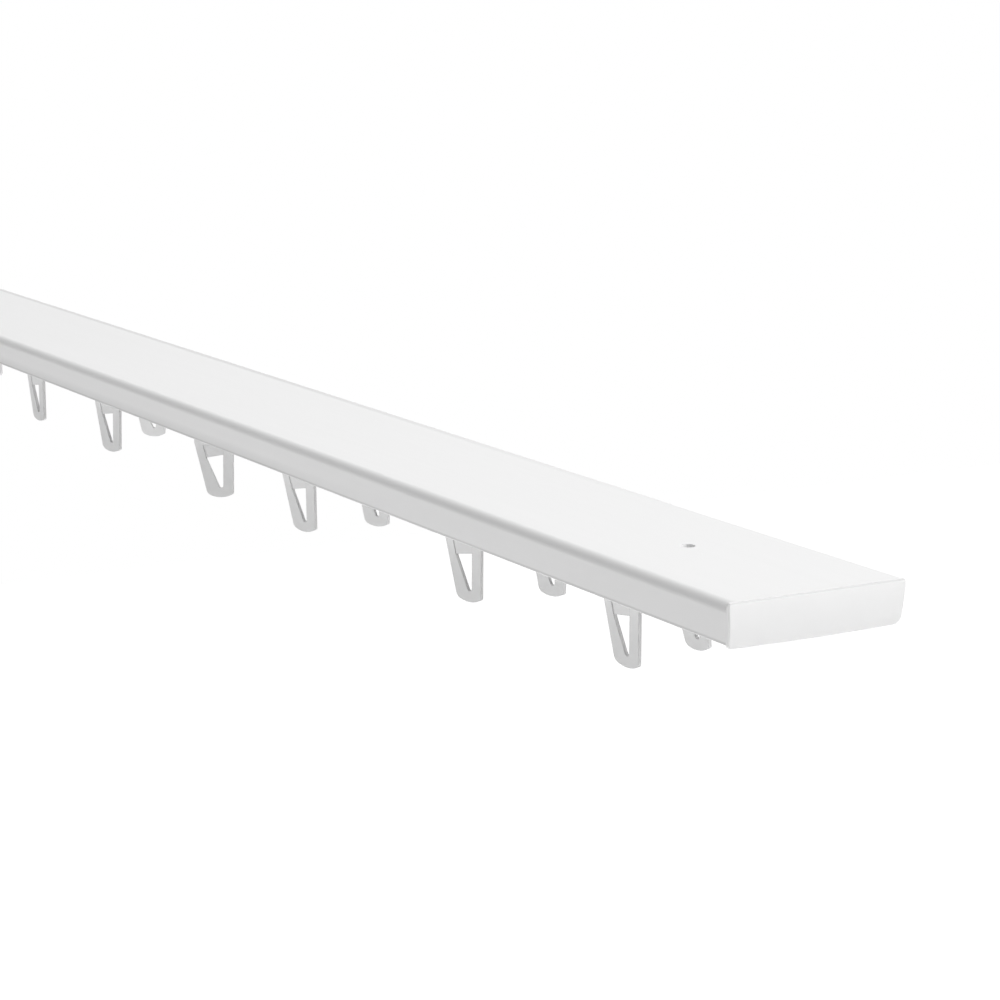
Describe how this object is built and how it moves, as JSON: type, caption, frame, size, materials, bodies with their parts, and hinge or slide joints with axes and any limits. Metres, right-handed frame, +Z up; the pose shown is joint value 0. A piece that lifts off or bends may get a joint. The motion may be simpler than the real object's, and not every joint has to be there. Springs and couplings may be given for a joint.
{
  "type": "curtain track",
  "caption": "Flat two-row ceiling curtain track: extruded profile, an end cap at each end, and sliding gliders with open eyes in both channels.",
  "frame": {"origin": "middle of the top face, which lies against the ceiling, on the line of the screw holes", "axes": "+X along the track, +Y across it to its far side, +Z up to the ceiling"},
  "size_m": [1.5, 0.0599, 0.0382],
  "materials": {
    "profile_white": "satin",
    "cap_white": "satin",
    "glider_white": "satin"
  },
  "bodies": {
    "track": {"track_profile": "profile_white", "end_cap_right": "cap_white", "end_cap_left": "cap_white"},
    "front_01_glider": {"glider_front_01": "glider_white"},
    "front_02_glider": {"glider_front_02": "glider_white"},
    "front_03_glider": {"glider_front_03": "glider_white"},
    "front_04_glider": {"glider_front_04": "glider_white"},
    "front_05_glider": {"glider_front_05": "glider_white"},
    "front_06_glider": {"glider_front_06": "glider_white"},
    "front_07_glider": {"glider_front_07": "glider_white"},
    "front_08_glider": {"glider_front_08": "glider_white"},
    "front_09_glider": {"glider_front_09": "glider_white"},
    "front_10_glider": {"glider_front_10": "glider_white"},
    "front_11_glider": {"glider_front_11": "glider_white"},
    "front_12_glider": {"glider_front_12": "glider_white"},
    "front_13_glider": {"glider_front_13": "glider_white"},
    "front_14_glider": {"glider_front_14": "glider_white"},
    "front_15_glider": {"glider_front_15": "glider_white"},
    "back_01_glider": {"glider_back_01": "glider_white"},
    "back_02_glider": {"glider_back_02": "glider_white"},
    "back_03_glider": {"glider_back_03": "glider_white"},
    "back_04_glider": {"glider_back_04": "glider_white"},
    "back_05_glider": {"glider_back_05": "glider_white"},
    "back_06_glider": {"glider_back_06": "glider_white"},
    "back_07_glider": {"glider_back_07": "glider_white"},
    "back_08_glider": {"glider_back_08": "glider_white"},
    "back_09_glider": {"glider_back_09": "glider_white"},
    "back_10_glider": {"glider_back_10": "glider_white"},
    "back_11_glider": {"glider_back_11": "glider_white"},
    "back_12_glider": {"glider_back_12": "glider_white"},
    "back_13_glider": {"glider_back_13": "glider_white"}
  },
  "joints": [
    {"name": "front_01_glider_slide", "type": "slide", "parent": "track", "child": "front_01_glider", "axis": [1, 0, 0], "range_m": [-0.0399, 0.0605]},
    {"name": "front_02_glider_slide", "type": "slide", "parent": "track", "child": "front_02_glider", "axis": [1, 0, 0], "range_m": [-0.0542, 0.0399]},
    {"name": "front_03_glider_slide", "type": "slide", "parent": "track", "child": "front_03_glider", "axis": [1, 0, 0], "range_m": [-0.0295, 0.0542]},
    {"name": "front_04_glider_slide", "type": "slide", "parent": "track", "child": "front_04_glider", "axis": [1, 0, 0], "range_m": [-0.0485, 0.0295]},
    {"name": "front_05_glider_slide", "type": "slide", "parent": "track", "child": "front_05_glider", "axis": [1, 0, 0], "range_m": [-0.0354, 0.0485]},
    {"name": "front_06_glider_slide", "type": "slide", "parent": "track", "child": "front_06_glider", "axis": [1, 0, 0], "range_m": [-0.0358, 0.0354]},
    {"name": "front_07_glider_slide", "type": "slide", "parent": "track", "child": "front_07_glider", "axis": [1, 0, 0], "range_m": [-0.0388, 0.0358]},
    {"name": "front_08_glider_slide", "type": "slide", "parent": "track", "child": "front_08_glider", "axis": [1, 0, 0], "range_m": [-0.0392, 0.0388]},
    {"name": "front_09_glider_slide", "type": "slide", "parent": "track", "child": "front_09_glider", "axis": [1, 0, 0], "range_m": [-0.0463, 0.0392]},
    {"name": "front_10_glider_slide", "type": "slide", "parent": "track", "child": "front_10_glider", "axis": [1, 0, 0], "range_m": [-0.0367, 0.0463]},
    {"name": "front_11_glider_slide", "type": "slide", "parent": "track", "child": "front_11_glider", "axis": [1, 0, 0], "range_m": [-0.0374, 0.0367]},
    {"name": "front_12_glider_slide", "type": "slide", "parent": "track", "child": "front_12_glider", "axis": [1, 0, 0], "range_m": [-0.0387, 0.0374]},
    {"name": "front_13_glider_slide", "type": "slide", "parent": "track", "child": "front_13_glider", "axis": [1, 0, 0], "range_m": [-0.0461, 0.0387]},
    {"name": "front_14_glider_slide", "type": "slide", "parent": "track", "child": "front_14_glider", "axis": [1, 0, 0], "range_m": [-0.0393, 0.0461]},
    {"name": "front_15_glider_slide", "type": "slide", "parent": "track", "child": "front_15_glider", "axis": [1, 0, 0], "range_m": [-0.0593, 0.0393]},
    {"name": "back_01_glider_slide", "type": "slide", "parent": "track", "child": "back_01_glider", "axis": [1, 0, 0], "range_m": [-0.0329, 0.0695]},
    {"name": "back_02_glider_slide", "type": "slide", "parent": "track", "child": "back_02_glider", "axis": [1, 0, 0], "range_m": [-0.0554, 0.0329]},
    {"name": "back_03_glider_slide", "type": "slide", "parent": "track", "child": "back_03_glider", "axis": [1, 0, 0], "range_m": [-0.0992, 0.0554]},
    {"name": "back_04_glider_slide", "type": "slide", "parent": "track", "child": "back_04_glider", "axis": [1, 0, 0], "range_m": [-0.0901, 0.0992]},
    {"name": "back_05_glider_slide", "type": "slide", "parent": "track", "child": "back_05_glider", "axis": [1, 0, 0], "range_m": [-0.0282, 0.0901]},
    {"name": "back_06_glider_slide", "type": "slide", "parent": "track", "child": "back_06_glider", "axis": [1, 0, 0], "range_m": [-0.0368, 0.0282]},
    {"name": "back_07_glider_slide", "type": "slide", "parent": "track", "child": "back_07_glider", "axis": [1, 0, 0], "range_m": [-0.0358, 0.0368]},
    {"name": "back_08_glider_slide", "type": "slide", "parent": "track", "child": "back_08_glider", "axis": [1, 0, 0], "range_m": [-0.0437, 0.0358]},
    {"name": "back_09_glider_slide", "type": "slide", "parent": "track", "child": "back_09_glider", "axis": [1, 0, 0], "range_m": [-0.0359, 0.0437]},
    {"name": "back_10_glider_slide", "type": "slide", "parent": "track", "child": "back_10_glider", "axis": [1, 0, 0], "range_m": [-0.0401, 0.0359]},
    {"name": "back_11_glider_slide", "type": "slide", "parent": "track", "child": "back_11_glider", "axis": [1, 0, 0], "range_m": [-0.0358, 0.0401]},
    {"name": "back_12_glider_slide", "type": "slide", "parent": "track", "child": "back_12_glider", "axis": [1, 0, 0], "range_m": [-0.04, 0.0358]},
    {"name": "back_13_glider_slide", "type": "slide", "parent": "track", "child": "back_13_glider", "axis": [1, 0, 0], "range_m": [-0.0662, 0.04]}
  ]
}
